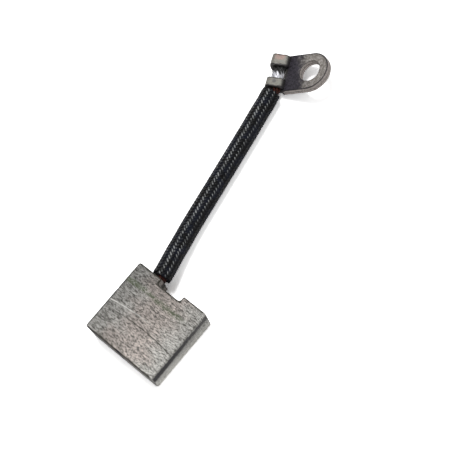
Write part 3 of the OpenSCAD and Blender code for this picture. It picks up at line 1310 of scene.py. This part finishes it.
    def placed(self, mesh: bpy.types.Mesh) -> None:
        """Stores on each point its place on the flag and on the bands, which the finish reads.

        Args:
            mesh: The terminal's mesh.
        """
        flag, band = self.flag.inverted(), self.place.inverted()
        spots = [vertex.co.copy() for vertex in mesh.vertices]
        for label, into in (("on_flag", flag), ("on_band", band)):
            values = [number for spot in spots for number in into @ spot]
            mesh.attributes.new(label, "FLOAT_VECTOR", "POINT").data.foreach_set("vector", values)
        edge = self.half_width + 0.02 * MM
        is_band = [1.0 if (band @ spot).x < edge else 0.0 for spot in spots]
        mesh.attributes.new("is_band", "FLOAT", "POINT").data.foreach_set("value", is_band)

    def dented(self, mesh: bpy.types.Mesh) -> bpy.types.Mesh:
        """Dents a band's sheet a little and makes its cut ends ragged.

        Args:
            mesh: The band.

        Returns:
            The same mesh.
        """
        into = self.place.inverted()
        for vertex in mesh.vertices:
            spot = into @ vertex.co
            if spot.x > self.half_width - 0.1 * MM:
                continue
            fade = min(1.0, (self.half_width - 0.1 * MM - spot.x) / (0.6 * MM))
            push = Vector((noise.noise(vertex.co * 500), 0, noise.noise(vertex.co * 420 + Vector((9, 2, 5)))))
            slip = noise.noise(Vector((spot.x * 900, 3.0, spot.z * 900)))
            spot += push * (0.10 * MM * fade)
            spot.y += slip * 0.16 * MM * fade
            vertex.co = self.place @ spot
        return mesh

    def build(self, finish: bpy.types.Material) -> bpy.types.Object:
        """Builds the terminal as one piece.

        Args:
            finish: Its material.

        Returns:
            The terminal.
        """
        meshes = [
            self.dented(self.band(self.near_end, self.near_band, "near_band")),
            self.dented(self.band(self.window_to, self.far_band, "far_band")),
            self.leaf(1, "upper_leaf"),
            self.leaf(-1, "lower_leaf"),
        ]
        thing = joined("flag_terminal", meshes, finish)
        self.placed(thing.data)
        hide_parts("ring_terminal")
        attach(thing, ROOT)
        return thing


# ---------------------------------------------------------------------------------------------
# The lead
# ---------------------------------------------------------------------------------------------


@dataclass
class Rope:
    """The copper shunt: bundles of wires, wound round a core."""

    bundles: int = 8
    wires: int = 5
    twist: float = 11 * MM
    wire_twist: float = 5 * MM
    radius: float = 1.45 * MM
    wire: float = 0.27 * MM

    def build(self, line: Sequence[Stop], tree: OnRoute, finish: bpy.types.Material) -> bpy.types.Object:
        """Builds the rope along a line.

        Args:
            line: The points that it follows.
            tree: The tree that winds strands.
            finish: Its material.

        Returns:
            The rope.
        """
        length = sum((b.at - a.at).length for a, b in zip(line, line[1:]))
        lay = 0.72
        wires = tree.run(guide_mesh("rope_guide", line), {
            "Strands": self.bundles, "Wires": self.wires, "Points": round(length / (0.6 * MM)),
            "Turns": length / self.twist, "Lay": lay,
            "Wire Turns": length / self.wire_twist, "Wire Lay": 1 - lay - self.wire / 2 / self.radius,
            "Weave": 0.0, "Width": self.wire, "Thickness": self.wire, "Ragged": 0.0, "Seed": 1,
            "Material": finish,
        })
        core = tube("rope_core", line, 0.62, 0.0, 12)
        return joined("shunt_rope", [wires, core], finish)


def tube(name: str, line: Sequence[Stop], outer: float, inner: float, sides: int) -> bpy.types.Mesh:
    """Makes a tube or a rod along a line.

    Args:
        name: The mesh's name.
        line: The points that it follows.
        outer: Its outer size, as a share of the line's half sizes.
        inner: Its inner size as such a share, or 0 for a rod.
        sides: The number of its sides.

    Returns:
        A closed mesh.
    """
    rings: list[list[Vector]] = []
    stretch = [(i, outer) for i in range(len(line))]
    if inner:
        stretch += [(i, inner) for i in reversed(range(len(line)))]
    for i, share in stretch:
        way = (line[min(i + 1, len(line) - 1)].at - line[max(i - 1, 0)].at).normalized()
        side = way.cross(Vector((0, 0, 1))).normalized()
        up = side.cross(way)
        stop = line[i]
        rings.append([
            stop.at
            + side * (math.cos(math.tau * k / sides) * stop.half_width * share)
            + up * (math.sin(math.tau * k / sides) * stop.half_height * share)
            for k in range(sides)
        ])
    return skin(rings, bool(inner), name)


@dataclass
class Sleeve:
    """The braided sleeve: two families of flat strands over a liner, with frayed cut ends."""

    radius: float = 2.35 * MM
    wall: float = 0.6 * MM
    gap: float = 0.7 * MM
    strands: int = 16
    strand: float = 0.66 * MM
    thickness: float = 0.15 * MM
    slope: float = math.radians(45)

    def build(self, line: Sequence[Stop], strands: OnRoute, fibres: OnRoute,
              finish: bpy.types.Material) -> bpy.types.Object:
        """Builds the sleeve along a line.

        Args:
            line: The points that it follows.
            strands: The tree that winds strands.
            fibres: The tree that stands cut fibres at an end.
            finish: Its material.

        Returns:
            The sleeve.
        """
        line = [Stop(stop.at, self.radius, self.radius) for stop in line]
        length = sum((b.at - a.at).length for a, b in zip(line, line[1:]))
        middle = self.radius - self.thickness
        turns = length * math.tan(self.slope) / (math.tau * middle)
        crossings = self.strands * turns * 2
        meshes = []
        for family in Lay:
            meshes.append(strands.run(guide_mesh("sleeve_guide", line), {
                "Strands": self.strands, "Wires": 1, "Points": round(crossings * 3),
                "Turns": turns * family.value, "Lay": middle / self.radius,
                "Wire Turns": 0.0, "Wire Lay": 0.0, "Weave": self.thickness / 2 * family.value,
                "Width": self.strand, "Thickness": self.thickness, "Ragged": 0.003,
                "Seed": 3 + family.value, "Material": finish,
            }))
        inner = 1 - self.wall / self.radius
        meshes.append(tube("liner", line, 1 - 2.1 * self.thickness / self.radius, inner, 40))
        for end, seed in ((line, 11), (line[::-1], 23)):
            meshes.append(fibres.run(guide_mesh("end_guide", end), {
                "Fibres": 90, "Lay": 0.9, "Length": 0.9 * MM, "Splay": 0.5,
                "Thickness": 0.05 * MM, "Seed": seed, "Material": finish,
            }))
        return joined("woven_sleeve", meshes, finish)


@dataclass
class Lead:
    """The free lead: the rope, its sleeve and the terminal that they end in."""

    route: Route = field(default_factory=Route)

    def build(self) -> list[bpy.types.Object]:
        """Builds the lead.

        Returns:
            The rope, the sleeve and the terminal.
        """
        terminal = Terminal(self.route.exit)
        line = spline(self.route.stops(terminal), self.route.step)
        strands, fibres = strand_tree(), fibre_tree()
        rope = Rope().build(line, strands, CopperRope().make())
        points = self.route.lead_points()
        heading = (points[0] - self.route.exit).normalized()
        sleeved = between(line, self.route.exit + heading * Sleeve.gap, points[-1])
        sleeve = Sleeve().build(sleeved, strands, fibres, VarnishedBraid().make())
        flag = terminal.build(DullTin().make(terminal))
        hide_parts("copper_shunt")
        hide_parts("braided_sleeve")
        for thing, slot in ((rope, Slot.ROPE), (sleeve, Slot.SLEEVE)):
            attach(thing, ROOT)
        return [rope, sleeve, flag]


# ---------------------------------------------------------------------------------------------
# The block
# ---------------------------------------------------------------------------------------------


@dataclass
class Block:
    """The metal-graphite block: slotted, drilled, ground, and a little chipped along its edges."""

    slot_width: float = 6.6 * MM
    slot_depth: float = 1.5 * MM
    slot_fillet: float = 0.7 * MM
    hole_offset: float = 5 * MM
    hole_radius: float = 2 * MM
    hole_depth: float = 7.6 * MM
    bevel: float = 0.22 * MM
    corner: float = 0.5 * MM
    cell: float = 0.16 * MM

    def outline(self, low: Vector, high: Vector) -> list[Point2]:
        """Returns the block's outline from above, with its slot.

        Args:
            low: The block's lowest corner.
            high: Its highest corner.

        Returns:
            The points of the outline.
        """
        half, r = self.slot_width / 2, self.slot_fillet
        floor = high.y - self.slot_depth
        points: list[Point2] = [(low.x, low.y), (high.x, low.y), (high.x, high.y), (half, high.y)]
        for x, start in ((half - r, 0.0), (r - half, -math.pi / 2)):
            for k in range(7):
                angle = start - math.pi / 2 * k / 6
                points.append((x + r * math.cos(angle), floor + r + r * math.sin(angle)))
        return points + [(-half, high.y), (low.x, high.y)]

    def solid(self, low: Vector, high: Vector) -> bpy.types.Mesh:
        """Makes the block with its rounded corners and bevels.

        Args:
            low: The block's lowest corner.
            high: Its highest corner.

        Returns:
            The block, not drilled yet.
        """
        work = bmesh.new()
        base = work.faces.new([work.verts.new((x, y, low.z)) for x, y in self.outline(low, high)])
        top = bmesh.ops.extrude_face_region(work, geom=[base])["geom"]
        bmesh.ops.translate(work, vec=(0, 0, high.z - low.z),
                            verts=[v for v in top if isinstance(v, bmesh.types.BMVert)])
        bmesh.ops.recalc_face_normals(work, faces=work.faces)
        upright = [
            e for e in work.edges
            if abs(e.verts[0].co.z - e.verts[1].co.z) > 1 * MM and e.calc_face_angle(0) > 1.0
            and abs(e.verts[0].co.x) > self.slot_width
        ]
        bmesh.ops.bevel(work, geom=upright, offset=self.corner, segments=5, profile=0.5, affect="EDGES")
        sharp = [e for e in work.edges if e.calc_face_angle(0) > 1.0]
        bmesh.ops.bevel(work, geom=sharp, offset=self.bevel, segments=3, profile=0.5, affect="EDGES")
        mesh = bpy.data.meshes.new("brush_block")
        work.to_mesh(mesh)
        work.free()
        return mesh

    def drilled(self, mesh: bpy.types.Mesh, low: Vector, high: Vector) -> bpy.types.Mesh:
        """Cuts the shunt's hole and remeshes the block in even cells.

        Args:
            mesh: The block.
            low: Its lowest corner.
            high: Its highest corner.

        Returns:
            The drilled block.
        """
        holder = bpy.data.objects.new("block_work", mesh)
        bpy.context.scene.collection.objects.link(holder)
        drill = bmesh.new()
        middle = Vector((
            -self.hole_offset, high.y + self.hole_depth / 2 - self.hole_depth, (low.z + high.z) / 2
        ))
        bmesh.ops.create_cone(
            drill, cap_ends=True, segments=48, radius1=self.hole_radius, radius2=self.hole_radius,
            depth=self.hole_depth * 1.5,
            matrix=(
                Matrix.Translation(middle + Vector((0, self.hole_depth / 4, 0)))
                @ Matrix.Rotation(math.pi / 2, 4, "X")
            ),
        )
        cutter_mesh = bpy.data.meshes.new("drill")
        drill.to_mesh(cutter_mesh)
        drill.free()
        cutter = bpy.data.objects.new("drill", cutter_mesh)
        bpy.context.scene.collection.objects.link(cutter)
        cut = holder.modifiers.new("drill", "BOOLEAN")
        cut.operation, cut.object, cut.solver = "DIFFERENCE", cutter, "EXACT"
        cells = holder.modifiers.new("cells", "REMESH")
        cells.mode, cells.voxel_size = "VOXEL", self.cell
        ready = holder.evaluated_get(bpy.context.evaluated_depsgraph_get())
        out = bpy.data.meshes.new_from_object(ready)
        bpy.data.objects.remove(holder)
        bpy.data.objects.remove(cutter)
        return out

    def chipped(self, mesh: bpy.types.Mesh, low: Vector, high: Vector) -> None:
        """Wears the block's outer edges unevenly.

        Args:
            mesh: The block.
            low: Its lowest corner.
            high: Its highest corner.
        """
        for vertex in mesh.vertices:
            p = vertex.co
            depths = sorted((
                min(p.x - low.x, high.x - p.x), min(p.y - low.y, high.y - p.y), min(p.z - low.z, high.z - p.z)
            ))
            near_edge = max(0.0, 1 - depths[1] / (0.45 * MM))
            wear = noise.noise(p * 900) * 0.5 + noise.noise(p * 2600) * 0.5
            inward = Vector((-p.x, -p.y, (low.z + high.z) / 2 - p.z)).normalized()
            vertex.co = p + inward * (near_edge * max(0.0, wear) * 0.28 * MM)

    def build(self, finish: GroundGraphite) -> bpy.types.Object:
        """Builds the block in its finish.

        Args:
            finish: Its finish.

        Returns:
            The block.
        """
        low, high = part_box("carbon_block")
        mesh = self.drilled(self.solid(low, high), low, high)
        self.chipped(mesh, low, high)
        slot = Vector((self.slot_width / 2, high.y - self.slot_depth))
        thing = joined("brush_block", [mesh], finish.make(low, high, slot))
        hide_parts("carbon_block")
        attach(thing, ROOT)
        return thing


# ---------------------------------------------------------------------------------------------
# The studio
# ---------------------------------------------------------------------------------------------


@dataclass
class Studio:
    """A pale floor, soft lights and the camera."""

    aim: Vector = field(default_factory=lambda: Vector((-2.97, 29.53, 0)) * MM)
    azimuth: float = math.radians(60.482)
    elevation: float = math.radians(68.713)
    roll: float = math.radians(-21.73)
    distance: float = 280.5 * MM
    lens: float = 96.0

    def camera(self) -> None:
        """Makes the camera."""
        data = bpy.data.cameras.new("camera")
        data.lens, data.sensor_width = self.lens, 36.0
        data.clip_start, data.clip_end = 0.01, 10.0
        back = Vector((
            math.sin(self.azimuth) * math.cos(self.elevation),
            -math.cos(self.azimuth) * math.cos(self.elevation),
            math.sin(self.elevation),
        ))
        seat = bpy.data.objects.new("camera", data)
        turn = (-back).to_track_quat("-Z", "Y").to_matrix().to_4x4()
        seat.matrix_world = (
            Matrix.Translation(self.aim + back * self.distance) @ turn @ Matrix.Rotation(self.roll, 4, "Z")
        )
        bpy.context.scene.collection.objects.link(seat)
        bpy.context.scene.camera = seat

    def light(self, name: str, at: Sequence[float], size: float, power: float) -> None:
        """Makes one soft square light that faces the object.

        Args:
            name: The light's name.
            at: Its place.
            size: The length of its sides.
            power: Its power in watts.
        """
        data = bpy.data.lights.new(name, "AREA")
        data.size, data.energy = size, power
        lamp = bpy.data.objects.new(name, data)
        lamp.location = at
        lamp.rotation_mode = "QUATERNION"
        lamp.rotation_quaternion = (self.aim - Vector(at)).to_track_quat("-Z", "Y")
        bpy.context.scene.collection.objects.link(lamp)

    def floor(self) -> None:
        """Makes the floor: pale to the object, white to the camera, with the object's shadow."""
        mesh = bpy.data.meshes.new("floor")
        half = 3.0
        corners = [(-half, -half, 0), (half, -half, 0), (half, half, 0), (-half, half, 0)]
        mesh.from_pydata(corners, [], [(0, 1, 2, 3)])
        material = bpy.data.materials.new("pale_floor")
        material.use_nodes = True
        graph = Graph(material.node_tree)
        graph.tree.nodes.clear()
        rays = graph.add("ShaderNodeLightPath").outputs
        mirrored = graph.math("MAXIMUM", rays["Is Glossy Ray"], rays["Is Transmission Ray"])
        plain = graph.add("ShaderNodeBsdfDiffuse", {"Color": (0.8, 0.8, 0.8, 1)}).outputs[0]
        pale = graph.add("ShaderNodeBsdfDiffuse", {"Color": (0.95, 0.95, 0.95, 1)}).outputs[0]
        white = graph.add("ShaderNodeBsdfDiffuse", {"Color": (2.1, 2.1, 2.1, 1)}).outputs[0]
        mixed = graph.add("ShaderNodeMixShader", {0: mirrored, 1: plain, 2: pale}).outputs[0]
        mixed = graph.add("ShaderNodeMixShader", {0: rays["Is Camera Ray"], 1: mixed, 2: white}).outputs[0]
        graph.add("ShaderNodeOutputMaterial", {0: mixed})
        mesh.materials.append(material)
        floor = bpy.data.objects.new("floor", mesh)
        bpy.context.scene.collection.objects.link(floor)

    def world(self) -> None:
        """Sets the plain light from all round."""
        world = bpy.data.worlds.new("studio")
        world.use_nodes = True
        sky = world.node_tree.nodes["Background"]
        sky.inputs[0].default_value = (1, 1, 1, 1)
        sky.inputs[1].default_value = 0.42
        bpy.context.scene.world = world

    def build(self) -> None:
        """Builds the whole studio."""
        self.camera()
        self.floor()
        self.world()
        self.light("key", (-0.24, 0.17, 0.75), 0.22, 2.9)
        self.light("fill", (0.45, -0.25, 0.45), 0.5, 1.1)
        bpy.context.scene.view_settings.view_transform = "Standard"


def main() -> None:
    """Builds the brush and its studio, and reports each piece."""
    logging.basicConfig(level=logging.INFO, format="%(name)s: %(message)s")
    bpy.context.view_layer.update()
    Studio().build()
    for thing in Lead().build():
        report(thing)
    report(Block().build(GroundGraphite()))
    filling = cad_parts["tamped_filling"]
    filling.data.materials.clear()
    filling.data.materials.append(RammedPowder().make())


if __name__ == "__main__":
    main()
